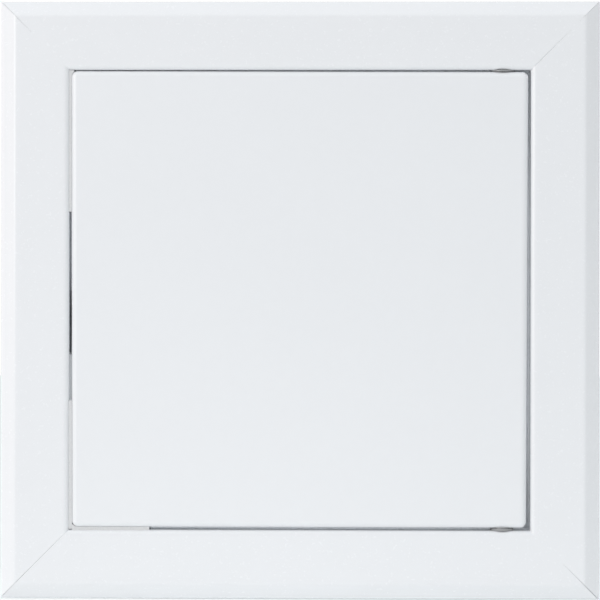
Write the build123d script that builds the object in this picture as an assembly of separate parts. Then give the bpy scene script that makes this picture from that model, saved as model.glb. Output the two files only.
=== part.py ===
from build123d import *
import math
import os

# Flush access panel: a mitred frame of four extruded lengths, and a folded sheet door that turns
# on two pins inside the frame's collar and is held shut by a magnetic touch latch.
# Millimetres. X to the right, Y into the wall, Z up, the front faces -Y.
# The origin is the centre of the opening, in the plane of the wall's surface.

# ---- driving dimensions -------------------------------------------------------------------
# frame section: u is the distance from the opening's centre, y the depth into the wall
OUT = 130.0          # half of the frame's outer width
HALF = 100.1         # half of the opening's width, to the collar's inner face
SHORT = 0.3          # the top and bottom stand this much nearer to the centre than the sides do
HALF_Z = HALF - SHORT
FACE_Y = -5.0        # the frame's and the door's front face
FLANGE_T = 1.8
BEVEL_W = 6.3        # width of the sloped border, seen from the front
BEVEL_H = 3.7        # how far the border falls back
BEND_R = 3.0
INNER_R = 2.4
TOE_R = 0.9
COLLAR_T = 1.6
COLLAR_END = 34.0
RIB_Y = 15.0         # front of the stop rib inside the collar
RIB_T = 1.6
RIB_H = 5.0
CHAN_IN, CHAN_OUT = 106.0, 118.8   # cleat channel behind the flange
CHAN_WALL = 1.0
LIP = 1.4
LIP_Y0, LIP_Y1 = -1.05, -0.15
FIX_R = 2.25         # wall fixing holes through the collar
FIX_Y = 25.0
FIX_X = 60.0

# The mitres stand open at the face by hairlines, and their cut edges are eased. Each pair is a share of the way
# from the outer to the inner corner and a width: of the gap, then of the easing on the flat face.
# The last number is the easing on the sloped border.
MITRES = {
    "bottom_left": ([[(0.0, 0.12), (0.2, 0.10), (0.33, 0.08), (0.62, 0.05), (0.8, 0.03), (1.0, 0.02)]],
                    [[(0.20, 0.15), (0.33, 0.16), (0.80, 0.15), (0.95, 0.08)]], 0.18),
    "top_right": ([[(0.0, 0.09), (0.2, 0.06), (0.30, 0.012)], [(0.42, 0.012), (0.58, 0.04), (0.78, 0.06), (1.0, 0.04)]],
                  [[(0.20, 0.10), (0.26, 0.02)], [(0.42, 0.02), (0.58, 0.13), (0.78, 0.23), (0.96, 0.20)]], 0.13),
    "top_left": ([[(0.0, 0.11), (0.2, 0.08), (0.45, 0.02)]],
                 [[(0.20, 0.13), (0.45, 0.02)]], 0.14),
    "bottom_right": ([[(0.0, 0.26), (0.12, 0.19), (0.2, 0.12), (0.33, 0.07), (0.52, 0.012)]],
                     [[(0.20, 0.20), (0.36, 0.17), (0.52, 0.02)]], 0.20),
}
MITRE_DEEP = 1.45    # the hairlines' depth; behind it the cut faces touch

# corner cleats
CLEAT_W = 12.4
CLEAT_T = 2.0
CLEAT_LEG = 35.0
CLEAT_OUT = 118.6
SCREW_AT = 24.0      # grub screw from the cleat's outer corner, along each leg
SCREW_R = 2.0

# door
# outer corners (x, z): it was folded a little out of square, and hangs a little low on the left
DOOR_AT = {
    "top_left": (-99.23, 99.43),
    "top_right": (99.03, 98.95),
    "bottom_right": (98.28, -98.49),
    "bottom_left": (-98.73, -98.64),
}
DOOR_T = 1.0
DOOR_D = 12.0        # depth of the folded edge
DOOR_R = 2.4         # outer bend radius
DOOR_CORNER = {"top_left": 2.6, "top_right": 2.5, "bottom_right": 2.45, "bottom_left": 2.5}
SLIT = 0.25

# hinge
AX_X, AX_Y = 88.0, 0.5
PIN_R = 2.0
RUN = 0.05           # radial clearance of a running fit
BUSH_R = 3.0
BUSH_FLANGE_R = 5.2
BUSH_FLANGE_TOP = 0.7
BUSH_FLANGE_BOTTOM = 1.0
BUSH_END = HALF_Z + 4.0
PIN_END = BUSH_END - 0.5
BR_T = 1.5           # bracket sheet

# latch
LATCH_Z = -9.3
LATCH_X = -91.35
LATCH_H = 27.4
LATCH_Y = 10.0
STEM_R = 4.5
PLUNGE = 12.0

WHITE_SHEET_BACK = FACE_Y + DOOR_T   # the door sheet's rear face

os.makedirs("parts", exist_ok=True)


def save(name, shape):
    export_step(shape, f"parts/{name}.step")
    print(name, len(shape.solids()), round(shape.volume, 1))


def box(x0, x1, y0, y1, z0, z1):
    return Pos((x0 + x1) / 2, (y0 + y1) / 2, (z0 + z1) / 2) * Box(x1 - x0, y1 - y0, z1 - z0)


def rod_y(x, z, r, y0, y1):
    return Pos(x, (y0 + y1) / 2, z) * Rot(90, 0, 0) * Cylinder(r, y1 - y0)


def rod_z(x, y, r, z0, z1):
    return Pos(x, y, (z0 + z1) / 2) * Cylinder(r, z1 - z0)


def rod_x(y, z, r, x0, x1):
    return Pos((x0 + x1) / 2, y, z) * Rot(0, 90, 0) * Cylinder(r, x1 - x0)


def prism_y(points, y0, y1):
    """A polygon given by (x, z) points, from y0 to y1."""
    plane = Plane(origin=(0, y0, 0), x_dir=(1, 0, 0), z_dir=(0, -1, 0))
    face = plane * make_face(Polyline(*points, close=True))
    return extrude(face, amount=-(y1 - y0))


def near(shape, axis_points, tol=0.06):
    """The straight edges whose middle lies on one of the given (axis, a, b) lines."""
    picked = []
    for e in shape.edges():
        c = e.center()
        for axis, a, b in axis_points:
            t = e.tangent_at(0.5)
            if axis == "X" and abs(abs(t.X) - 1) < 1e-6 and abs(c.Y - a) < tol and abs(c.Z - b) < tol:
                picked.append(e)
            if axis == "Z" and abs(abs(t.Z) - 1) < 1e-6 and abs(c.X - a) < tol and abs(c.Y - b) < tol:
                picked.append(e)
    return ShapeList(picked)


# ---- frame --------------------------------------------------------------------------------
def section():
    """The extruded section, drawn as (u, y)."""
    bl = math.hypot(BEVEL_W, BEVEL_H)
    nx, ny = -BEVEL_H / bl * FLANGE_T, BEVEL_W / bl * FLANGE_T
    bx, by = OUT + nx, FACE_Y + BEVEL_H + ny
    slope = BEVEL_W / BEVEL_H
    toe = bx - by * slope                         # inner side of the border, at the wall
    back = FACE_Y + FLANGE_T
    knee = bx - (by - back) * slope               # inner side of the border, behind the flange
    pts = [
        (HALF, FACE_Y), (OUT - BEVEL_W, FACE_Y), (OUT, FACE_Y + BEVEL_H), (OUT, 0), (toe, 0),
        (knee, back),
        (CHAN_OUT + CHAN_WALL, back), (CHAN_OUT + CHAN_WALL, LIP_Y1), (CHAN_OUT - LIP, LIP_Y1),
        (CHAN_OUT - LIP, LIP_Y0), (CHAN_OUT, LIP_Y0), (CHAN_OUT, back),
        (CHAN_IN, back), (CHAN_IN, LIP_Y0), (CHAN_IN + LIP, LIP_Y0), (CHAN_IN + LIP, LIP_Y1),
        (CHAN_IN - CHAN_WALL, LIP_Y1), (CHAN_IN - CHAN_WALL, back),
        (HALF + COLLAR_T, back), (HALF + COLLAR_T, COLLAR_END), (HALF, COLLAR_END),
        (HALF, RIB_Y + RIB_T), (HALF - RIB_H, RIB_Y + RIB_T), (HALF - RIB_H, RIB_Y), (HALF, RIB_Y),
    ]
    face = make_face(Polyline(*pts, close=True))

    def at(f, u, y):
        return [v for v in f.vertices() if abs(v.X - u) < 1e-4 and abs(v.Y - y) < 1e-4]

    face = fillet(at(face, HALF, FACE_Y), INNER_R)
    face = fillet(at(face, OUT - BEVEL_W, FACE_Y), BEND_R)
    face = fillet(at(face, OUT, FACE_Y + BEVEL_H), TOE_R)
    face = fillet(at(face, knee, back), BEND_R - FLANGE_T)
    face = fillet(at(face, HALF + COLLAR_T, back), 0.45)
    face = fillet(at(face, HALF, RIB_Y) + at(face, HALF, RIB_Y + RIB_T), 0.4)
    face = fillet(at(face, HALF - RIB_H, RIB_Y) + at(face, HALF - RIB_H, RIB_Y + RIB_T), 0.5)
    return face


def signs(corner):
    return (-1 if "left" in corner else 1), (-1 if "bottom" in corner else 1)


def hairline(corner, stations):
    """The thin open groove of one mitre, as deep everywhere below the face and the border."""
    sx, sz = signs(corner)
    n = Vector(sx, 0, -sz).normalized()
    crease = BEVEL_W / (OUT - HALF)
    slope = BEVEL_H / BEVEL_W
    line = []
    for (s0, w0), (s1, w1) in zip(stations, stations[1:]):
        line.append((s0, w0))
        if s0 < crease < s1:
            line.append((crease, w0 + (w1 - w0) * (crease - s0) / (s1 - s0)))
    line.append(stations[-1])
    rings = []
    for share, w in line:
        d = OUT - share * (OUT - HALF)
        lean = 0.0 if share > crease + 1e-9 else (slope / 2 if abs(share - crease) < 1e-9 else slope)
        if share == 0:
            d += 0.8
        if share == 1:
            d -= 0.8
        y = FACE_Y + max(0.0, d - OUT + BEVEL_W) * slope
        inward = Vector(-sx * lean / math.sqrt(2), math.sqrt(2), -sz * lean / math.sqrt(2)).normalized()
        at = Vector(sx * d, y, sz * (d - SHORT))
        low, high = at + inward * MITRE_DEEP, at - inward * 1.2
        rings.append(make_face(Polyline(low + n * w / 2, high + n * w / 2, high - n * w / 2, low - n * w / 2, close=True)))
    return [loft([one, two], ruled=True) for one, two in zip(rings, rings[1:])]


def vee(corner, stations, lift=0.4):
    """A V-shaped cut along a mitre. Stations are (distance out, y of the surface, slope, depth)."""
    sx, sz = signs(corner)
    n = Vector(sx, 0, -sz).normalized()
    rings = []
    for d, y, slope, c in stations:
        inward = Vector(-sx * slope / math.sqrt(2), math.sqrt(2), -sz * slope / math.sqrt(2)).normalized()
        at = Vector(sx * d, y, sz * (d - SHORT))
        low = at + inward * c
        high = at - inward * lift
        rings.append(make_face(Polyline(low, high + n * (c + lift), high - n * (c + lift), close=True)))
    return [loft([one, two], ruled=True) for one, two in zip(rings, rings[1:])]


def easing(corner):
    flat, border = MITRES[corner][1], MITRES[corner][2]
    cuts = []
    for run in flat:
        cuts += vee(corner, [(OUT - share * (OUT - HALF), FACE_Y, 0.0, c) for share, c in run])
    slope = BEVEL_H / BEVEL_W
    ends = (OUT - BEVEL_W - 1.5, OUT + 1.0)
    cuts += vee(corner, [(d, FACE_Y + (d - OUT + BEVEL_W) * slope, slope, border) for d in ends])
    return cuts


plane_top = Plane(origin=(OUT + 5, 0, 0), x_dir=(0, 0, 1), z_dir=(-1, 0, 0))
stock = extrude(plane_top * section(), amount=2 * OUT + 10)


def cut_length(shorter):
    """One length of the section, mitred at both ends; shorter is taken off each end."""
    far = OUT + 5
    piece = stock & prism_y([(0, shorter), (far - shorter, far), (shorter - far, far)], FACE_Y - 1, COLLAR_END + 1)
    for sx in (-1, 1):
        piece -= rod_z(sx * FIX_X, FIX_Y, FIX_R, HALF - 1, HALF + COLLAR_T + 1)
    return piece


across, upright = cut_length(0.0), cut_length(SHORT)
sides = {
    "top": Pos(0, 0, -SHORT) * across,
    "right": upright.rotate(Axis.Y, 90),
    "bottom": Pos(0, 0, SHORT) * across.rotate(Axis.Y, 180),
    "left": upright.rotate(Axis.Y, -90),
}
for name in sides:
    for corner in MITRES:
        if name in corner:
            for stations in MITRES[corner][0]:
                for cut in hairline(corner, stations):
                    sides[name] = sides[name] - cut
            for cut in easing(corner):
                sides[name] = sides[name] - cut

sides["top"] -= rod_z(AX_X, AX_Y, BUSH_R, HALF - 1, HALF + COLLAR_T + 1)
sides["bottom"] -= rod_z(AX_X, AX_Y, BUSH_R, -HALF - COLLAR_T - 1, -HALF + 1)
# the left collar's rib stops short on both sides of the latch, which screws to the collar
LATCH_Z0, LATCH_Z1 = LATCH_Z - LATCH_H / 2, LATCH_Z + LATCH_H / 2
sides["left"] -= box(-HALF, -HALF + RIB_H + 1, RIB_Y - 1.5, RIB_Y + RIB_T + 1.5, LATCH_Z0 - 0.4, LATCH_Z1 + 0.4)
LATCH_SCREWS = [(24.0, LATCH_Z - 10.2), (24.0, LATCH_Z + 10.2)]
for y, z in LATCH_SCREWS:
    sides["left"] -= rod_x(y, z, 1.5, -HALF - COLLAR_T - 1, -HALF + 1)
for name, solid in sides.items():
    save(f"frame_{name}", solid)

# ---- corner cleats and their grub screws ---------------------------------------------------
c_in = CLEAT_OUT - CLEAT_W
cy0, cy1 = FACE_Y + FLANGE_T, FACE_Y + FLANGE_T + CLEAT_T
cleat = box(CLEAT_OUT - CLEAT_LEG, CLEAT_OUT, cy0, cy1, c_in, CLEAT_OUT)
cleat += box(c_in, CLEAT_OUT, cy0, cy1, CLEAT_OUT - CLEAT_LEG, CLEAT_OUT)
ends = [e for e in cleat.edges() if abs(abs(e.tangent_at(0.5).Y) - 1) < 1e-6]
free = [e for e in ends if min(e.center().X, e.center().Z) < CLEAT_OUT - CLEAT_LEG + 0.01]
inner = [e for e in ends if abs(e.center().X - c_in) < 0.01 and abs(e.center().Z - c_in) < 0.01]
outer = [e for e in ends if abs(e.center().X - CLEAT_OUT) < 0.01 and abs(e.center().Z - CLEAT_OUT) < 0.01]
cleat = fillet(ShapeList(free), 1.5)
ends = [e for e in cleat.edges() if abs(abs(e.tangent_at(0.5).Y) - 1) < 1e-6]
cleat = chamfer(ShapeList([e for e in ends if abs(e.center().X - CLEAT_OUT) < 0.01 and abs(e.center().Z - CLEAT_OUT) < 0.01]), 1.2)
mid = (c_in + CLEAT_OUT) / 2
at = CLEAT_OUT - SCREW_AT
screw = None
for x, z in ((at, mid), (mid, at)):
    cleat -= rod_y(x, z, SCREW_R, cy0 - 1, cy1 + 1)
    one = rod_y(x, z, SCREW_R, cy0, cy1 + 0.75)
    hexagon = extrude(Plane(origin=(x, cy1 + 0.8, z), x_dir=(1, 0, 0), z_dir=(0, -1, 0)) * RegularPolygon(1.0, 6, major_radius=False), amount=1.6)
    one -= hexagon
    screw = [one] if screw is None else screw + [one]
turns = {"top_right": 0, "bottom_right": 90, "bottom_left": 180, "top_left": -90}
screws = []
for corner, deg in turns.items():
    move = Pos(0, 0, SHORT if "bottom" in corner else -SHORT)
    save(f"corner_cleat_{corner}", move * cleat.rotate(Axis.Y, deg))
    screws += [move * s.rotate(Axis.Y, deg) for s in screw]
save("cleat_screws", Compound(children=[s.solid() for s in screws]))

# ---- door: one folded tray -----------------------------------------------------------------
def inset(points, d):
    """The same polygon, given clockwise, with every side moved inwards by d."""
    lines = []
    for i, (x0, z0) in enumerate(points):
        x1, z1 = points[(i + 1) % len(points)]
        n = math.hypot(x1 - x0, z1 - z0)
        nx, nz = (z1 - z0) / n, -(x1 - x0) / n
        lines.append((nx, nz, nx * x0 + nz * z0 + d))
    out = []
    for i in range(len(points)):
        a1, b1, c1 = lines[i - 1]
        a2, b2, c2 = lines[i]
        det = a1 * b2 - a2 * b1
        out.append(((c1 * b2 - c2 * b1) / det, (a1 * c2 - a2 * c1) / det))
    return out


def pan(points, y0, depth, corner_r, bend_r):
    """A block over the polygon with rounded corners, its front edges rounded too."""
    plane = Plane(origin=(0, y0, 0), x_dir=(1, 0, 0), z_dir=(0, -1, 0))
    face = plane * make_face(Polyline(*points, close=True))
    for (x, z), r in zip(points, corner_r):
        face = fillet([v for v in face.vertices() if abs(v.X - x) < 1e-4 and abs(v.Z - z) < 1e-4], r)
    block = extrude(face, amount=-depth)
    return fillet(block.faces().sort_by(Axis.Y)[0].edges(), bend_r)


order = ("top_left", "top_right", "bottom_right", "bottom_left")
plan = [DOOR_AT[k] for k in order]
tray = pan(plan, FACE_Y, DOOR_D, [DOOR_CORNER[k] for k in order], DOOR_R)
tray -= pan(inset(plan, DOOR_T), WHITE_SHEET_BACK, DOOR_D + 1, [DOOR_CORNER[k] - DOOR_T for k in order], DOOR_R - DOOR_T)
back_y = FACE_Y + DOOR_D
for corner, (x, z) in DOOR_AT.items():
    # the four folded edges meet in an open seam at each corner; the lower right one opens further forward
    sx, sz = math.copysign(1, x), math.copysign(1, z)
    lower_right = corner == "bottom_right"
    start = FACE_Y + (1.2 if lower_right else 2.4)
    wide = 0.5 if lower_right else SLIT
    slit = Box(6.0, back_y + 1 - start, wide)
    angle = -45 if sx * sz > 0 else 45
    tray -= Pos(x - sx * 1.2, (start + back_y + 1) / 2, z - sz * 1.2) * Rot(0, angle, 0) * slit
tray -= rod_z(AX_X, AX_Y, 3.0, 90, 105)
tray -= rod_z(AX_X, AX_Y, 4.3, -105, -90)
save("door_panel", tray)

# ---- hinge brackets on the door ------------------------------------------------------------
b0, b1 = WHITE_SHEET_BACK, WHITE_SHEET_BACK + BR_T
ARM_Y = 6.0
TAB_X0, ARM_X0, ARM_X1 = 73.0, 82.5, 93.5
TOP_ARM = (95.1, 96.6)
LOW_ARM = (64.0, 65.5)


def c_section(z_low, z_high, arms):
    s = box(ARM_X0, ARM_X1, b0, b1, z_low, z_high)
    for a in arms:
        s += box(ARM_X0, ARM_X1, b0, ARM_Y, a[0], a[1])
    outer_lines = [("X", b0, a[1] if a[1] > (z_low + z_high) / 2 else a[0]) for a in arms]
    inner_lines = [("X", b1, a[0] if a[1] > (z_low + z_high) / 2 else a[1]) for a in arms]
    s = fillet(near(s, outer_lines), 2.0)
    s = fillet(near(s, inner_lines), 0.5)
    corners = []
    for e in s.edges():
        c, t = e.center(), e.tangent_at(0.5)
        if abs(abs(t.Z) - 1) < 1e-6 and abs(c.Y - ARM_Y) < 0.01:
            corners.append(e)
    return fillet(ShapeList(corners), 3.0)


def tab(z0, z1):
    t = box(TAB_X0, ARM_X0 + 0.5, b0, b1, z0, z1)
    edges = [e for e in t.edges() if abs(abs(e.tangent_at(0.5).Y) - 1) < 1e-6 and abs(e.center().X - TAB_X0) < 0.01]
    return fillet(ShapeList(edges), 2.5)


STUDS = [(77.5, 74.0), (77.5, 86.0), (77.5, -87.0), (77.5, -77.0), (-71.0, LATCH_Z - 5.2), (-71.0, LATCH_Z + 5.2)]
STUD_R, STUD_HOLE = 2.0, 2.2
upper = c_section(LOW_ARM[0], TOP_ARM[1], [TOP_ARM, LOW_ARM]) + tab(68.0, 92.0)
upper -= rod_z(AX_X, AX_Y, PIN_R + RUN, 60, 100)
lower = c_section(-96.6, -70.0, [(-96.6, -95.1)]) + tab(-92.5, -71.5)
lower -= rod_z(AX_X, AX_Y, PIN_R, -100, -94)

# ---- strike: a stepped steel plate that the magnet holds ------------------------------------
SX0, SX1 = -97.2, -66.0
RISE_X = -78.5
PAD_Y0, PAD_Y1 = 5.0, 6.5
strike = box(RISE_X - BR_T, SX1, b0, b1, LATCH_Z - 10, LATCH_Z + 10)
strike += box(RISE_X - BR_T, RISE_X, b0, PAD_Y1, LATCH_Z - 10, LATCH_Z + 10)
strike += box(SX0, RISE_X, PAD_Y0, PAD_Y1, LATCH_Z - 10, LATCH_Z + 10)
strike = fillet(near(strike, [("Z", RISE_X - BR_T, b0), ("Z", RISE_X, PAD_Y1)]), 2.0)
strike = fillet(near(strike, [("Z", RISE_X, b1), ("Z", RISE_X - BR_T, PAD_Y0)]), 0.5)
ends = [e for e in strike.edges() if abs(abs(e.tangent_at(0.5).Y) - 1) < 1e-6 and (abs(e.center().X - SX0) < 0.01 or abs(e.center().X - SX1) < 0.01)]
strike = fillet(ShapeList(ends), 2.0)

studs, nuts = [], []
for x, z in STUDS:
    hole = rod_y(x, z, STUD_HOLE, b0 - 1, b1 + 1)
    if x > 0 and z > 0:
        upper -= hole
    elif x > 0:
        lower -= hole
    else:
        strike -= hole
    stud = rod_y(x, z, STUD_R, b0, b1 + 4.4)
    stud = chamfer(stud.faces().sort_by(Axis.Y)[-1].edges(), 0.4)
    studs.append(stud.solid())
    nut = extrude(Plane(origin=(x, b1, z), x_dir=(1, 0, 0), z_dir=(0, -1, 0)) * RegularPolygon(3.5, 6, major_radius=False), amount=-3.2)
    cone = Pos(x, b1 + 3.2 - 1.0, z) * Rot(90, 0, 0) * Cylinder(4.04, 6.4)
    cone = chamfer(cone.edges(), 0.55)
    nut = nut & (Pos(0, -2.2, 0) * cone)
    nut -= rod_y(x, z, STUD_R, b1 - 1, b1 + 5)
    nuts.append(nut.solid())
save("hinge_bracket_top", upper)
save("hinge_bracket_bottom", lower)
save("strike_plate", strike)
save("weld_studs", Compound(children=studs))
save("stud_nuts", Compound(children=nuts))

# ---- pivot pins, bushes, spring -------------------------------------------------------------
low_flange_top = -HALF_Z + BUSH_FLANGE_BOTTOM
pin_b = rod_z(AX_X, AX_Y, PIN_R, -PIN_END, low_flange_top)
pin_b = chamfer(pin_b.faces().sort_by(Axis.Z)[0].edges(), 0.6)
pin_b += rod_z(AX_X, AX_Y, 3.5, low_flange_top, -96.6)
pin_b += rod_z(AX_X, AX_Y, PIN_R, -96.7, -95.0)
head = rod_z(AX_X, AX_Y, 2.5, -95.1, -94.0)
pin_b += fillet(head.faces().sort_by(Axis.Z)[-1].edges(), 0.6)
save("pivot_pin_bottom", pin_b)

CLIP_Z = 86.0
CLIP_T = 0.8
GROOVE_R = 1.6
pin_t = rod_z(AX_X, AX_Y, PIN_R, 63.9, PIN_END)
pin_t = chamfer(pin_t.faces().sort_by(Axis.Z)[-1].edges(), 0.7)
pin_t -= rod_z(AX_X, AX_Y, 3, CLIP_Z, CLIP_Z + CLIP_T) - rod_z(AX_X, AX_Y, GROOVE_R, CLIP_Z - 1, CLIP_Z + 2)
knob = rod_z(AX_X, AX_Y, 3.4, 56.0, 64.0)
knob = chamfer(knob.edges().filter_by(GeomType.CIRCLE), 0.5)
for z in (58.2, 60.0, 61.8):
    knob -= rod_z(AX_X, AX_Y, 5, z - 0.35, z + 0.35) - rod_z(AX_X, AX_Y, 2.9, z - 1, z + 1)
save("pivot_pin_top", pin_t + knob)

clip = rod_z(AX_X, AX_Y, 2.8, CLIP_Z, CLIP_Z + CLIP_T) - rod_z(AX_X, AX_Y, GROOVE_R, CLIP_Z - 1, CLIP_Z + 2)
clip -= box(AX_X - 1.25, AX_X + 1.25, AX_Y, AX_Y + 4, CLIP_Z - 1, CLIP_Z + 2)
save("pin_clip", clip)

spring = rod_z(AX_X, AX_Y, 2.75, LOW_ARM[1], CLIP_Z) - rod_z(AX_X, AX_Y, 2.15, LOW_ARM[1] - 1, CLIP_Z + 1)
save("pin_spring", spring)


def bush(flange_t):
    b = rod_z(AX_X, AX_Y, BUSH_R, HALF_Z - 0.05, BUSH_END)
    b = chamfer(b.faces().sort_by(Axis.Z)[-1].edges(), 0.5)
    f = rod_z(AX_X, AX_Y, BUSH_FLANGE_R, HALF_Z - flange_t, HALF_Z)
    b += chamfer(f.faces().sort_by(Axis.Z)[0].edges(), 0.15)
    return b - rod_z(AX_X, AX_Y, PIN_R + RUN, HALF_Z - 3, BUSH_END + 1)


save("pivot_bush_top", bush(BUSH_FLANGE_TOP))
save("pivot_bush_bottom", bush(BUSH_FLANGE_BOTTOM).mirror(Plane.XY))

# ---- foam strips on the collar ---------------------------------------------------------------
# the door stands out of square, so the strips are trimmed to follow its folded edge
SEAL_BOTTOM = 1.08
SEAL_CLEAR = 0.07
SEAL_Y0, SEAL_Y1 = FACE_Y + 1.0, FACE_Y + 11.3
SUNK_Y0, SUNK_Z = FACE_Y + 3.2, -43.4      # beside the latch the lower strip sits further back


def spare(z):
    """How thick a strip may be at this height and still let the fold's rear edge swing past it."""
    (x1, z1), (x0, z0) = DOOR_AT["top_left"], DOOR_AT["bottom_left"]
    edge = x0 + (x1 - x0) * (z - z0) / (z1 - z0)
    return AX_X - math.hypot(AX_X - edge, back_y - AX_Y) + HALF - SEAL_CLEAR


def strip(z0, z1, y0):
    return prism_y([(-HALF, z0), (-HALF, z1), (-HALF + spare(z1), z1), (-HALF + spare(z0), z0)], y0, SEAL_Y1)


save("seal_left_upper", strip(38.3, 99.5, SEAL_Y0))
save("seal_left_lower", strip(-99.5, SUNK_Z, SEAL_Y0) + strip(SUNK_Z, -23.8, SUNK_Y0))
save("seal_bottom_left", box(-98.7, -65.1, SEAL_Y0, SEAL_Y1, -HALF_Z, -HALF_Z + SEAL_BOTTOM))
print("seal thickness", [round(spare(z), 3) for z in (99.5, 38.3, -23.8, -43.4, -99.5)])

# ---- magnetic touch latch --------------------------------------------------------------------
BASE_T = 2.5
TUBE = 13.2
BODY_END = 44.0
base = box(-HALF, -HALF + BASE_T, LATCH_Y, 36.0, LATCH_Z0, LATCH_Z1)
base_edges = [e for e in base.edges() if abs(abs(e.tangent_at(0.5).X) - 1) < 1e-6 and e.center().Y > 30]
base = fillet(ShapeList(base_edges), 3.0)
tube = box(-HALF, LATCH_X + TUBE / 2, LATCH_Y, BODY_END, LATCH_Z - TUBE / 2, LATCH_Z + TUBE / 2)
tube_edges = [e for e in tube.edges() if abs(abs(e.tangent_at(0.5).Y) - 1) < 1e-6 and e.center().X > LATCH_X]
tube = fillet(ShapeList(tube_edges), 2.0)
body = base + tube
body -= rod_y(LATCH_X, LATCH_Z, STEM_R + RUN, LATCH_Y - 1, BODY_END + 1)
WIRE_R = 0.5
TIP_Y = 17.5
wire_z = LATCH_Z + STEM_R + 0.6
body -= box(LATCH_X - 0.8, LATCH_X + 0.8, TIP_Y - 2.0, BODY_END + 1, LATCH_Z, wire_z + 0.65)
for y, z in LATCH_SCREWS:
    body -= rod_x(y, z, 1.7, -HALF - 1, -HALF + BASE_T + 1)
save("latch_body", body)

cap = box(LATCH_X - TUBE / 2, LATCH_X + TUBE / 2, BODY_END, BODY_END + 1.8, LATCH_Z - TUBE / 2, LATCH_Z + TUBE / 2)
cap_edges = [e for e in cap.edges() if abs(abs(e.tangent_at(0.5).Y) - 1) < 1e-6]
cap = fillet(ShapeList(cap_edges), 2.0)
cap += rod_y(LATCH_X, LATCH_Z, STEM_R - 0.05, BODY_END - 2.5, BODY_END + 0.1)
cap -= rod_y(LATCH_X, wire_z, WIRE_R, BODY_END - 4, BODY_END + 1.2)
save("latch_end_cap", cap)

MAG_Y0 = PAD_Y1 + 0.05
STEM_Y0, STEM_Y1 = MAG_Y0 + 0.4, 31.0
stem = rod_y(LATCH_X, LATCH_Z, STEM_R, STEM_Y0, STEM_Y1)
stem = chamfer(stem.faces().sort_by(Axis.Y)[-1].edges(), 0.5)
stem -= rod_y(LATCH_X, LATCH_Z, 3.8, STEM_Y0 - 1, MAG_Y0 + 3.0)
stem -= rod_y(LATCH_X, LATCH_Z, 2.7, 14.0, STEM_Y1 + 1)
# the track that the follower wire runs in, as long as the plunger's travel
stem -= box(LATCH_X - 0.75, LATCH_X + 0.75, TIP_Y - 0.8, TIP_Y + PLUNGE + 0.8, LATCH_Z + 3.3, LATCH_Z + 5)
save("latch_plunger", stem)
save("latch_magnet", chamfer(rod_y(LATCH_X, LATCH_Z, 3.8, MAG_Y0, MAG_Y0 + 3.0).edges().filter_by(GeomType.CIRCLE), 0.25))

coil = rod_y(LATCH_X, LATCH_Z, 2.5, 14.0, BODY_END - 2.5) - rod_y(LATCH_X, LATCH_Z, 1.9, 13.0, BODY_END)
save("latch_spring", coil)

follower = rod_y(LATCH_X, wire_z, WIRE_R, TIP_Y, BODY_END + 1.2)
follower += rod_z(LATCH_X, TIP_Y, WIRE_R, LATCH_Z + 3.6, wire_z)
follower += Pos(LATCH_X, TIP_Y, wire_z) * Sphere(WIRE_R)
save("latch_follower", follower)

latch_screws = []
for y, z in LATCH_SCREWS:
    shank = rod_x(y, z, 1.5, -HALF - COLLAR_T - 2.4, -HALF + BASE_T + 0.1)
    shank = chamfer(shank.faces().sort_by(Axis.X)[0].edges(), 0.5)
    pan = rod_x(y, z, 2.8, -HALF + BASE_T, -HALF + BASE_T + 1.7)
    pan = fillet(pan.faces().sort_by(Axis.X)[-1].edges(), 0.7)
    s = shank + pan
    top = -HALF + BASE_T + 1.7
    s -= box(top - 1.0, top + 1, y - 1.6, y + 1.6, z - 0.35, z + 0.35)
    s -= box(top - 1.0, top + 1, y - 0.35, y + 0.35, z - 1.6, z + 1.6)
    latch_screws.append(s.solid())
save("latch_screws", Compound(children=latch_screws))

print("overall", 2 * OUT, 2 * (OUT - SHORT), "opening", 2 * HALF, 2 * HALF_Z)
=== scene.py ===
import bpy
import bmesh
import math
import random
from mathutils import Vector, Matrix


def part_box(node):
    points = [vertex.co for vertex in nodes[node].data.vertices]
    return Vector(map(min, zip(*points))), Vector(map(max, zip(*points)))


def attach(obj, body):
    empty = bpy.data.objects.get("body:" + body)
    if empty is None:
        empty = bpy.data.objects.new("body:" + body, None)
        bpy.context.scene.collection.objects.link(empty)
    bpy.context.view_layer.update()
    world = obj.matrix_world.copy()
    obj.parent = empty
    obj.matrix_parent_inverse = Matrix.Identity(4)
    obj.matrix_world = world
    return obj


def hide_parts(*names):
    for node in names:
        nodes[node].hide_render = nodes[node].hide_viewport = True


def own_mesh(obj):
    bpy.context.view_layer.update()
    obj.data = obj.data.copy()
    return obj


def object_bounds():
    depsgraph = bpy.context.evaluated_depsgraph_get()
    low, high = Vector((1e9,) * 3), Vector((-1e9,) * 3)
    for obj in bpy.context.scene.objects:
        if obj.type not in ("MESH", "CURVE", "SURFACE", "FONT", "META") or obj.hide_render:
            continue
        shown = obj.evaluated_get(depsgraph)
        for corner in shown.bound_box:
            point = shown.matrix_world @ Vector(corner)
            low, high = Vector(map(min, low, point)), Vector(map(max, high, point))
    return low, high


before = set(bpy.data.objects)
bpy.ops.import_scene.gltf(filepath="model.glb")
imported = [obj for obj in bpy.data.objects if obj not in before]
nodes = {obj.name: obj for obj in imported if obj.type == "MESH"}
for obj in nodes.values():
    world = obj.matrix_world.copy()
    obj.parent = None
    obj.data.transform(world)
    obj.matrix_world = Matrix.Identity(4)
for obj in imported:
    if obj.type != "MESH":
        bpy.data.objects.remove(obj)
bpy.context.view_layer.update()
scene = bpy.context.scene
MM = 0.001

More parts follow.
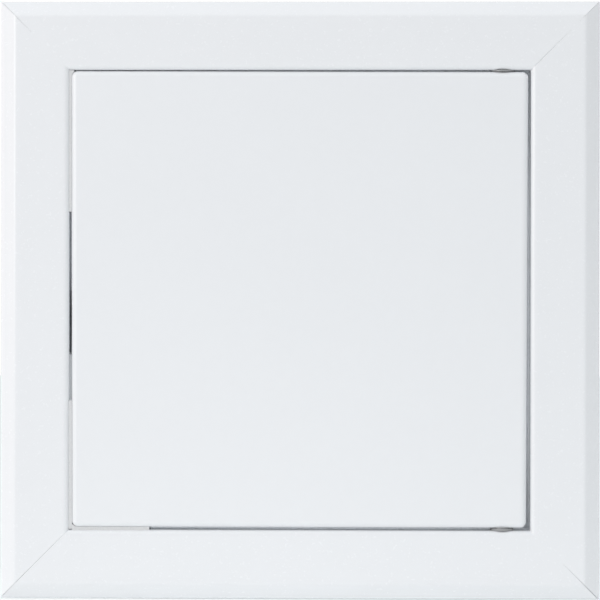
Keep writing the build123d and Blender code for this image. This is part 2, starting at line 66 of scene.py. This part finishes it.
# ---------------------------------------------------------------- camera
# Straight on, a long lens; the eye stands a little to the right of centre.
DIST = 1.35
YAW = math.radians(1.3)
ROLL = math.radians(0.09)
SPAN = 0.26094           # width of the picture at the wall plane, in metres
OFF_X, OFF_Z = 0.00016, 0.00004
cam_data = bpy.data.cameras.new("camera")
cam_data.sensor_width = 36.0
cam_data.lens = 36.0 * DIST / SPAN
cam_data.clip_start = 0.01
cam_data.clip_end = 30.0
cam = bpy.data.objects.new("camera", cam_data)
scene.collection.objects.link(cam)
cam.location = (DIST * math.sin(YAW) + OFF_X, -DIST * math.cos(YAW), OFF_Z)
cam.rotation_mode = "XYZ"
aim = Matrix.Rotation(YAW, 4, "Z") @ Matrix.Rotation(math.radians(90), 4, "X") @ Matrix.Rotation(ROLL, 4, "Z")
cam.rotation_euler = aim.to_euler("XYZ")
scene.camera = cam

# ---------------------------------------------------------------- light and surroundings
scene.view_settings.view_transform = "Standard"
scene.view_settings.look = "None"
scene.view_settings.exposure = 0.0
scene.view_settings.gamma = 1.0
# white faces a millimetre apart pass light between them many times
scene.cycles.max_bounces = 16
scene.cycles.diffuse_bounces = 10

FILL, TOP_BIAS = 0.801, 0.48
world = bpy.data.worlds.new("studio")
scene.world = world
world.use_nodes = True
wt = world.node_tree
wt.nodes.clear()


def wmath(op, a, b, clamp=False):
    n = wt.nodes.new("ShaderNodeMath")
    n.operation = op
    n.use_clamp = clamp
    for i, v in enumerate((a, b)):
        if isinstance(v, (int, float)):
            n.inputs[i].default_value = v
        else:
            wt.links.new(v, n.inputs[i])
    return n.outputs[0]


def smooth(value, lo, hi, out_lo, out_hi):
    n = wt.nodes.new("ShaderNodeMapRange")
    n.interpolation_type = "SMOOTHSTEP"
    n.inputs["From Min"].default_value = lo
    n.inputs["From Max"].default_value = hi
    n.inputs["To Min"].default_value = out_lo
    n.inputs["To Max"].default_value = out_hi
    wt.links.new(value, n.inputs["Value"])
    return n.outputs["Result"]


# A white room: brighter from above, dim behind the panel and round the eye, and with a dark edge on
# the far right. Seen directly it is plain white.
w_coord = wt.nodes.new("ShaderNodeTexCoord")
w_sep = wt.nodes.new("ShaderNodeSeparateXYZ")
wt.links.new(w_coord.outputs["Generated"], w_sep.inputs["Vector"])
up = wmath("MULTIPLY", wmath("MAXIMUM", w_sep.outputs["Z"], 0.0), TOP_BIAS)
level = wmath("ADD", up, 1.0)
level = wmath("MULTIPLY", level, smooth(w_sep.outputs["Y"], 0.55, 0.95, 1.0, 0.45))
level = wmath("MULTIPLY", level, smooth(w_sep.outputs["X"], 0.78, 0.98, 1.0, 0.28))
level = wmath("MULTIPLY", level, smooth(w_sep.outputs["Y"], -1.0, -0.55, 0.50, 1.0))
level = wmath("MULTIPLY", level, FILL)
w_fill = wt.nodes.new("ShaderNodeBackground")
# cooler from the front, warmer from both sides
w_tint = wt.nodes.new("ShaderNodeMix")
w_tint.data_type = "RGBA"
w_tint.inputs[6].default_value = (0.935, 1.010, 1.055, 1.0)
w_tint.inputs[7].default_value = (1.08, 0.985, 0.945, 1.0)
wt.links.new(smooth(wmath("ABSOLUTE", w_sep.outputs["X"], 0.0), 0.25, 0.95, 0.0, 1.0), w_tint.inputs[0])
wt.links.new(w_tint.outputs[2], w_fill.inputs["Color"])
wt.links.new(level, w_fill.inputs["Strength"])
w_seen = wt.nodes.new("ShaderNodeBackground")
w_seen.inputs["Color"].default_value = (1.0, 1.0, 1.0, 1.0)
w_seen.inputs["Strength"].default_value = 1.0
w_path = wt.nodes.new("ShaderNodeLightPath")
w_mix = wt.nodes.new("ShaderNodeMixShader")
w_out = wt.nodes.new("ShaderNodeOutputWorld")
wt.links.new(w_path.outputs["Is Camera Ray"], w_mix.inputs["Fac"])
wt.links.new(w_fill.outputs["Background"], w_mix.inputs[1])
wt.links.new(w_seen.outputs["Background"], w_mix.inputs[2])
wt.links.new(w_mix.outputs["Shader"], w_out.inputs["Surface"])


def area(name, at, size, power, colour, target=(0.0, 0.0, 0.0)):
    data = bpy.data.lights.new(name, "AREA")
    data.shape = "RECTANGLE"
    data.size, data.size_y = size
    data.energy = power
    data.color = colour
    lamp = bpy.data.objects.new(name, data)
    scene.collection.objects.link(lamp)
    lamp.location = at
    lamp.rotation_euler = (Vector(target) - Vector(at)).to_track_quat("-Z", "Y").to_euler()
    return lamp


area("key_left", (-1.47, -1.40, 0.65), (0.6, 1.3), 11.9, (1.0, 0.925, 0.900))

floor_mesh = bpy.data.meshes.new("floor")
bm = bmesh.new()
bmesh.ops.create_circle(bm, cap_ends=True, segments=128, radius=4.0)
bm.to_mesh(floor_mesh)
bm.free()
floor = bpy.data.objects.new("floor", floor_mesh)
scene.collection.objects.link(floor)
floor.location = (0.0, 0.0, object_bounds()[0][2] - 0.0004)


# ---------------------------------------------------------------- materials
def new_material(name):
    mat = bpy.data.materials.new(name)
    mat.use_nodes = True
    nt = mat.node_tree
    bsdf = nt.nodes.get("Principled BSDF")
    return mat, nt, bsdf


def noise(nt, scale, detail=2.0, rough=0.5, vector=None):
    n = nt.nodes.new("ShaderNodeTexNoise")
    n.inputs["Scale"].default_value = scale
    n.inputs["Detail"].default_value = detail
    n.inputs["Roughness"].default_value = rough
    if vector is not None:
        nt.links.new(vector, n.inputs["Vector"])
    return n


def coords(nt, scale=(1, 1, 1)):
    c = nt.nodes.new("ShaderNodeTexCoord")
    m = nt.nodes.new("ShaderNodeMapping")
    m.inputs["Scale"].default_value = scale
    nt.links.new(c.outputs["Object"], m.inputs["Vector"])
    return m.outputs["Vector"]


def spread(nt, value, low, high):
    m = nt.nodes.new("ShaderNodeMapRange")
    m.inputs["From Min"].default_value = 0.3
    m.inputs["From Max"].default_value = 0.7
    m.inputs["To Min"].default_value = low
    m.inputs["To Max"].default_value = high
    nt.links.new(value, m.inputs["Value"])
    return m.outputs["Result"]


def tint(nt, fac, a, b):
    m = nt.nodes.new("ShaderNodeMix")
    m.data_type = "RGBA"
    m.inputs[6].default_value = (*a, 1.0)
    m.inputs[7].default_value = (*b, 1.0)
    nt.links.new(fac, m.inputs[0])
    return m.outputs[2]


def bump(nt, bsdf, pairs):
    """pairs: (height output, strength, distance in mm), chained."""
    last = None
    for height, strength, mm in pairs:
        b = nt.nodes.new("ShaderNodeBump")
        b.inputs["Strength"].default_value = strength
        b.inputs["Distance"].default_value = mm * MM
        nt.links.new(height, b.inputs["Height"])
        if last is not None:
            nt.links.new(last, b.inputs["Normal"])
        last = b.outputs["Normal"]
    nt.links.new(last, bsdf.inputs["Normal"])


def powder_coat(name, base, rough=0.42, seed=0.0):
    """Satin powder coat: an even orange peel, a finer grain in it, and a very slight unevenness of tone."""
    mat, nt, bsdf = new_material(name)
    v = coords(nt)
    shift = nt.nodes.new("ShaderNodeVectorMath")
    shift.operation = "ADD"
    shift.inputs[1].default_value = (seed, seed * 0.7, seed * 1.3)
    nt.links.new(v, shift.inputs[0])
    v = shift.outputs["Vector"]
    broad = noise(nt, 14.0, 2.0, 0.5, v)
    patch = noise(nt, 320.0, 2.0, 0.55, v)
    peel = noise(nt, 900.0, 2.0, 0.5, v)
    grain = noise(nt, 3600.0, 1.0, 0.5, v)
    mix = nt.nodes.new("ShaderNodeMath")
    mix.operation = "MULTIPLY_ADD"
    mix.inputs[1].default_value = 0.55
    nt.links.new(patch.outputs["Fac"], mix.inputs[0])
    part = nt.nodes.new("ShaderNodeMath")
    part.operation = "MULTIPLY"
    part.inputs[1].default_value = 0.45
    nt.links.new(broad.outputs["Fac"], part.inputs[0])
    nt.links.new(part.outputs[0], mix.inputs[2])
    lo = tuple(c * 0.994 for c in base)
    hi = tuple(min(1.0, c * 1.005) for c in base)
    nt.links.new(tint(nt, spread(nt, mix.outputs[0], 0.0, 1.0), lo, hi), bsdf.inputs["Base Color"])
    nt.links.new(spread(nt, peel.outputs["Fac"], rough - 0.03, rough + 0.04), bsdf.inputs["Roughness"])
    bsdf.inputs["Specular IOR Level"].default_value = 0.5
    bump(nt, bsdf, [(peel.outputs["Fac"], 0.07, 0.04), (grain.outputs["Fac"], 0.07, 0.010)])
    return mat


def zinc(name, base=(0.60, 0.61, 0.62), rough=0.34):
    """Bright zinc plate on rolled sheet: fine rolling lines, faint spangle, a little yellow and blue in the passivation."""
    mat, nt, bsdf = new_material(name)
    lines = noise(nt, 900.0, 2.0, 0.6, coords(nt, (1.0, 1.0, 0.03)))
    cloud = noise(nt, 160.0, 3.0, 0.6, coords(nt))
    nt.links.new(tint(nt, spread(nt, cloud.outputs["Fac"], 0.0, 1.0), tuple(c * 0.86 for c in base), (base[0] * 1.06, base[1] * 1.04, base[2] * 0.98)), bsdf.inputs["Base Color"])
    bsdf.inputs["Metallic"].default_value = 1.0
    nt.links.new(spread(nt, cloud.outputs["Fac"], rough - 0.07, rough + 0.12), bsdf.inputs["Roughness"])
    bump(nt, bsdf, [(lines.outputs["Fac"], 0.18, 0.02), (cloud.outputs["Fac"], 0.1, 0.02)])
    return mat


def turned(name, base=(0.56, 0.56, 0.57), rough=0.25, axis="Z"):
    """Turned steel: fine rings round the axis."""
    mat, nt, bsdf = new_material(name)
    scale = {"Z": (0.05, 0.05, 1.0), "Y": (0.05, 1.0, 0.05), "X": (1.0, 0.05, 0.05)}[axis]
    rings = noise(nt, 2600.0, 2.0, 0.6, coords(nt, scale))
    cloud = noise(nt, 400.0, 2.0, 0.5, coords(nt))
    nt.links.new(tint(nt, spread(nt, cloud.outputs["Fac"], 0.0, 1.0), tuple(c * 0.9 for c in base), tuple(c * 1.05 for c in base)), bsdf.inputs["Base Color"])
    bsdf.inputs["Metallic"].default_value = 1.0
    nt.links.new(spread(nt, rings.outputs["Fac"], rough - 0.06, rough + 0.1), bsdf.inputs["Roughness"])
    bump(nt, bsdf, [(rings.outputs["Fac"], 0.25, 0.015)])
    return mat


def moulded(name, base, rough=0.45, spark=0.25, detail=1900.0):
    """Moulded plastic with a spark-eroded grain and faint flow variation."""
    mat, nt, bsdf = new_material(name)
    v = coords(nt)
    grain = noise(nt, detail, 3.0, 0.65, v)
    flow = noise(nt, 70.0, 2.0, 0.5, v)
    nt.links.new(tint(nt, spread(nt, flow.outputs["Fac"], 0.0, 1.0), tuple(c * 0.88 for c in base), tuple(min(1, c * 1.1 + 0.002) for c in base)), bsdf.inputs["Base Color"])
    nt.links.new(spread(nt, grain.outputs["Fac"], rough - 0.06, rough + 0.1), bsdf.inputs["Roughness"])
    bump(nt, bsdf, [(grain.outputs["Fac"], spark, 0.03)])
    return mat


def foam(name, base):
    """Closed-cell foam tape: cut cells over a soft matt white."""
    mat, nt, bsdf = new_material(name)
    v = coords(nt)
    cells = nt.nodes.new("ShaderNodeTexVoronoi")
    cells.inputs["Scale"].default_value = 2600.0
    nt.links.new(v, cells.inputs["Vector"])
    soft = noise(nt, 500.0, 2.0, 0.5, v)
    nt.links.new(tint(nt, cells.outputs["Distance"], tuple(min(1, c * 1.04) for c in base), tuple(c * 0.86 for c in base)), bsdf.inputs["Base Color"])
    bsdf.inputs["Roughness"].default_value = 0.85
    bsdf.inputs["Specular IOR Level"].default_value = 0.2
    bump(nt, bsdf, [(cells.outputs["Distance"], 0.5, 0.12), (soft.outputs["Fac"], 0.3, 0.1)])
    return mat


WHITE = (0.812, 0.824, 0.842)
mats = {
    "frame_top": powder_coat("coat_frame_top", WHITE, 0.24, 0.0),
    "frame_bottom": powder_coat("coat_frame_bottom", WHITE, 0.24, 3.1),
    "frame_left": powder_coat("coat_frame_left", WHITE, 0.24, 5.7),
    "frame_right": powder_coat("coat_frame_right", WHITE, 0.24, 9.2),
    "door_panel": powder_coat("coat_door", (0.810, 0.823, 0.841), 0.23, 12.5),
}
zinc_sheet = zinc("zinc_sheet")
zinc_part = zinc("zinc_fastener", (0.66, 0.66, 0.66), 0.28)
pin_steel = turned("turned_steel")
clip_steel = zinc("clip_steel", (0.42, 0.41, 0.40), 0.35)
wire_steel = turned("spring_wire", (0.50, 0.50, 0.51), 0.22)
bush_plastic = moulded("bush_acetal", (0.30, 0.303, 0.306), 0.35, 0.15)
black_plastic = moulded("black_nylon", (0.013, 0.013, 0.014), 0.5, 0.35)
pale_plastic = moulded("pale_acetal", (0.62, 0.63, 0.64), 0.35, 0.12)
nickel = turned("nickel", (0.72, 0.70, 0.66), 0.14, "Y")
white_foam = foam("white_foam", (0.71, 0.715, 0.72))
for n in ("corner_cleat_top_left", "corner_cleat_top_right", "corner_cleat_bottom_left", "corner_cleat_bottom_right", "hinge_bracket_top", "hinge_bracket_bottom", "strike_plate"):
    mats[n] = zinc_sheet
for n in ("cleat_screws", "latch_screws", "weld_studs", "stud_nuts"):
    mats[n] = zinc_part
mats["pivot_pin_top"] = mats["pivot_pin_bottom"] = pin_steel
mats["pin_clip"] = clip_steel
mats["pin_spring"] = mats["latch_spring"] = mats["latch_follower"] = wire_steel
mats["pivot_bush_bottom"] = mats["pivot_bush_top"] = bush_plastic
mats["latch_body"] = mats["latch_end_cap"] = black_plastic
mats["latch_plunger"] = pale_plastic
mats["latch_magnet"] = nickel
for n in ("seal_left_upper", "seal_left_lower", "seal_bottom_left"):
    mats[n] = white_foam
for name, obj in nodes.items():
    obj.data.materials.clear()
    obj.data.materials.append(mats[name])


# ---------------------------------------------------------------- pieces modelled as meshes
def add_piece(name, verts, faces, material, body, smooth=True, replaces=None):
    """Build a piece from points in millimetres."""
    me = bpy.data.meshes.new(name)
    me.from_pydata([tuple(c * MM for c in v) for v in verts], [], faces)
    me.validate()
    bm = bmesh.new()
    bm.from_mesh(me)
    bmesh.ops.recalc_face_normals(bm, faces=bm.faces[:])
    bm.to_mesh(me)
    bm.free()
    me.materials.append(material)
    obj = bpy.data.objects.new(name, me)
    scene.collection.objects.link(obj)
    for poly in me.polygons:
        poly.use_smooth = smooth
    if smooth:
        me.set_sharp_from_angle(angle=math.radians(38))
    if replaces:
        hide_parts(replaces)
    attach(obj, body)
    return obj


def turn_to(axis, at):
    """Map (across, across, along) to the row's frame for a piece along Y, Z or X."""
    cx, cy, cz = at
    if axis == "Z":
        return lambda a, b, t: (cx + a, cy + b, t)
    if axis == "Y":
        return lambda a, b, t: (cx + a, t, cz + b)
    return lambda a, b, t: (t, cy + a, cz + b)


def wire_coil(place, radius, wire, start, stop, active, closed=1.15, around=10, per_turn=30):
    """A compression spring: closed, ground ends and even turns between. Returns verts and faces."""
    low, high = start + wire * 0.42, stop - wire * 0.42
    tight = wire * 2 * 1.02
    rise_end = closed * tight
    turns = active + 2 * closed
    steps = int(turns * per_turn)
    pitch = ((high - low) - 2 * rise_end) / active

    def height(turn):
        if turn < closed:
            return low + tight * turn
        if turn > closed + active:
            return high - tight * (turns - turn)
        return low + rise_end + pitch * (turn - closed)

    def soft(turn):
        w = 0.12
        return (height(max(0, turn - w)) + 2 * height(turn) + height(min(turns, turn + w))) / 4

    points = []
    for i in range(steps + 1):
        turn = turns * i / steps
        ang = 2 * math.pi * turn
        points.append(Vector((radius * math.cos(ang), radius * math.sin(ang), soft(turn))))
    verts, faces = [], []
    for i, p in enumerate(points):
        ahead = points[min(i + 1, steps)] - points[max(i - 1, 0)]
        ahead.normalize()
        out = Vector((p.x, p.y, 0)).normalized()
        upward = ahead.cross(out).normalized()
        out = upward.cross(ahead).normalized()
        for k in range(around):
            a = 2 * math.pi * k / around
            q = p + (out * math.cos(a) + upward * math.sin(a)) * wire
            verts.append(place(q.x, q.y, min(max(q.z, start), stop)))
        if i:
            base = (i - 1) * around
            for k in range(around):
                n = (k + 1) % around
                faces.append((base + k, base + n, base + around + n, base + around + k))
    faces.append(tuple(range(around))[::-1])
    faces.append(tuple(steps * around + k for k in range(around)))
    return verts, faces


def threaded_rod(place, start, stop, outer, depth, pitch, tip=0.5, around=36, rows_per_pitch=8, tip_at="stop"):
    """A rod with a real V thread, chamfered at its free end. Returns verts and faces."""
    length = stop - start
    rows = max(4, int(length / pitch * rows_per_pitch))
    verts, faces = [], []
    for i in range(rows + 1):
        t = start + length * i / rows
        free = (stop - t) if tip_at == "stop" else (t - start)
        for k in range(around):
            a = 2 * math.pi * k / around
            phase = ((t / pitch) - k / around) % 1.0
            ridge = 1 - abs(2 * phase - 1)
            ridge = min(1.0, max(0.0, (ridge - 0.1) / 0.78))
            r = outer - depth * (1 - ridge)
            if free < tip:
                r = min(r, outer - (tip - free) * 0.9)
            verts.append(place(r * math.cos(a), r * math.sin(a), t))
        if i:
            base = (i - 1) * around
            for k in range(around):
                n = (k + 1) % around
                faces.append((base + k, base + n, base + around + n, base + around + k))
    faces.append(tuple(range(around))[::-1])
    faces.append(tuple(rows * around + k for k in range(around)))
    return verts, faces


def joined(parts):
    verts, faces = [], []
    for v, f in parts:
        n = len(verts)
        verts += v
        faces += [tuple(i + n for i in face) for face in f]
    return verts, faces


def centre_mm(name):
    lo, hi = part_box(name)
    return [(a + b) / 2 / MM for a, b in zip(lo, hi)]


def box_mm(name):
    lo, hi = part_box(name)
    return [c / MM for c in lo], [c / MM for c in hi]


# the hinge pin's spring, wound wire
lo, hi = box_mm("pin_spring")
cx, cy = (lo[0] + hi[0]) / 2, (lo[1] + hi[1]) / 2
v, f = wire_coil(turn_to("Z", (cx, cy, 0)), 2.45, 0.29, lo[2], hi[2], 8.0)
coil = add_piece("hinge_pin_coil", v, f, wire_steel, "door", replaces="pin_spring")
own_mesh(coil)

# the latch's spring
lo, hi = box_mm("latch_spring")
v, f = wire_coil(turn_to("Y", ((lo[0] + hi[0]) / 2, 0, (lo[2] + hi[2]) / 2)), 2.2, 0.29, lo[1], hi[1], 9.0)
add_piece("latch_coil", v, f, wire_steel, "frame", replaces="latch_spring")

# the six weld studs, with their thread
STUDS = [(77.5, 74.0), (77.5, 86.0), (77.5, -87.0), (77.5, -77.0), (-71.0, -14.5), (-71.0, -4.1)]
lo, hi = box_mm("weld_studs")
parts = []
for x, z in STUDS:
    place = turn_to("Y", (x, 0, z))
    parts.append(threaded_rod(place, lo[1], hi[1], 2.0, 0.36, 0.7, tip=0.45))
v, f = joined(parts)
add_piece("threaded_studs", v, f, zinc_part, "door", replaces="weld_studs")


# foam strips: soft edges, and the slight waviness of tape pressed on by hand
FOLD_R, FOLD_Y = 2.4, -2.6       # the folded edges on both sides of the gap: radius, and where the rounding ends
FOAM_BACK = 0.35                 # how far the foam's front has sunk behind the strip's


def foam_strip(name, node_name, seed, first, last, corner, step=None, reach=0.0):
    """A strip over the node's box. It fills the gap, from its width at one end to its width at the
    other, and swells round both folds and, past corner = (place along it, radius, direction), into the
    pocket beside the door's corner; step = (place along it, extra depth) where it sits back;
    reach = how far its upper end is pressed on towards the collar."""
    lo, hi = box_mm(node_name)
    along = 0 if hi[0] - lo[0] > hi[2] - lo[2] else 2
    thick = 2 if along == 0 else 0
    n_long, n_deep, n_thick = 90, 16, 4
    rng = random.Random(seed)
    phases = [(rng.uniform(0, 6.3), rng.uniform(0.25, 1.3), rng.uniform(0.3, 1.0)) for _ in range(6)]
    index, verts, faces = {}, [], []

    for i in range(n_long + 1):
        for j in range(n_deep + 1):
            for k in range(n_thick + 1):
                if 0 < i < n_long and 0 < j < n_deep and 0 < k < n_thick:
                    continue
                u, v_, w = i / n_long, j / n_deep, k / n_thick
                length = lo[along] + (hi[along] + reach - lo[along]) * u
                t_full = first + (last - first) * u
                front = lo[1] + FOAM_BACK
                if step and length > step[0]:
                    front = lo[1] + step[1]
                y = front + (hi[1] - front) * v_
                # edges pulled in, as cut foam relaxes
                dist_y = min(y - front, hi[1] - y)
                dist_l = min(length - lo[along], hi[along] + reach - length)
                edge = min(dist_y, dist_l)
                pull = 0.05 * math.exp(-max(edge, 0) / 0.15)
                wave = sum(a * math.sin(length * fr + ph + y * 0.21 * a) for ph, fr, a in phases) / 6
                ahead = max(0.0, FOLD_Y - y)
                swell = FOLD_R - math.sqrt(FOLD_R * FOLD_R - ahead * ahead)
                past = min(max(0.0, (length - corner[0]) * corner[2]), 0.98 * corner[1])
                pocket = min(0.85 * (corner[1] - math.sqrt(corner[1] ** 2 - past ** 2)), 1.1)
                height = t_full + 0.85 * swell + pocket - 0.03 - pull - 0.012 * (1 + wave)
                t = lo[thick] - 0.9 * swell + (height + 0.9 * swell) * w
                inset = 0.05 * (w ** 3)
                if j == 0:
                    y += inset
                if j == n_deep:
                    y -= inset
                if i == 0:
                    length += inset
                if i == n_long:
                    length -= inset
                p = [0, y, 0]
                p[along], p[thick] = length, t
                index[(i, j, k)] = len(verts)
                verts.append(tuple(p))

    def quad(a, b, c, d):
        faces.append((index[a], index[b], index[c], index[d]))

    for i in range(n_long):
        for j in range(n_deep):
            for k in (0, n_thick):
                quad((i, j, k), (i + 1, j, k), (i + 1, j + 1, k), (i, j + 1, k))
        for k in range(n_thick):
            for j in (0, n_deep):
                quad((i, j, k), (i + 1, j, k), (i + 1, j, k + 1), (i, j, k + 1))
    for j in range(n_deep):
        for k in range(n_thick):
            for i in (0, n_long):
                quad((i, j, k), (i, j + 1, k), (i, j + 1, k + 1), (i, j, k + 1))
    return add_piece(name, verts, faces, white_foam, "frame", replaces=node_name)


foam_strip("foam_left_upper", "seal_left_upper", 11, 1.024, 0.870, (96.83, 2.6, 1), reach=0.25)
foam_strip("foam_left_lower", "seal_left_lower", 12, 1.373, 1.181, (-99.6, 2.5, -1), step=(-43.4, 2.2))
foam_strip("foam_bottom_left", "seal_bottom_left", 13, 1.160, 1.185, (-96.23, 2.5, -1))

fmat, fnt, fbsdf = new_material("pale_floor")
fv = coords(fnt)
fn = noise(fnt, 6.0, 2.0, 0.5, fv)
fnt.links.new(tint(fnt, spread(fnt, fn.outputs["Fac"], 0.0, 1.0), (0.785, 0.80, 0.80), (0.825, 0.84, 0.84)), fbsdf.inputs["Base Color"])
fbsdf.inputs["Roughness"].default_value = 0.9
fbsdf.inputs["Emission Color"].default_value = (0.96, 1.0, 1.0, 1.0)
# the panel's own shadow is filled in where it stands
f_far = fnt.nodes.new("ShaderNodeVectorMath")
f_far.operation = "LENGTH"
fnt.links.new(fv, f_far.inputs[0])
f_glow = fnt.nodes.new("ShaderNodeMapRange")
f_glow.interpolation_type = "SMOOTHSTEP"
f_glow.inputs["From Min"].default_value = 0.05
f_glow.inputs["From Max"].default_value = 0.30
f_glow.inputs["To Min"].default_value = 0.23
f_glow.inputs["To Max"].default_value = 0.055
fnt.links.new(f_far.outputs["Value"], f_glow.inputs["Value"])
fnt.links.new(f_glow.outputs["Result"], fbsdf.inputs["Emission Strength"])
floor.data.materials.append(fmat)
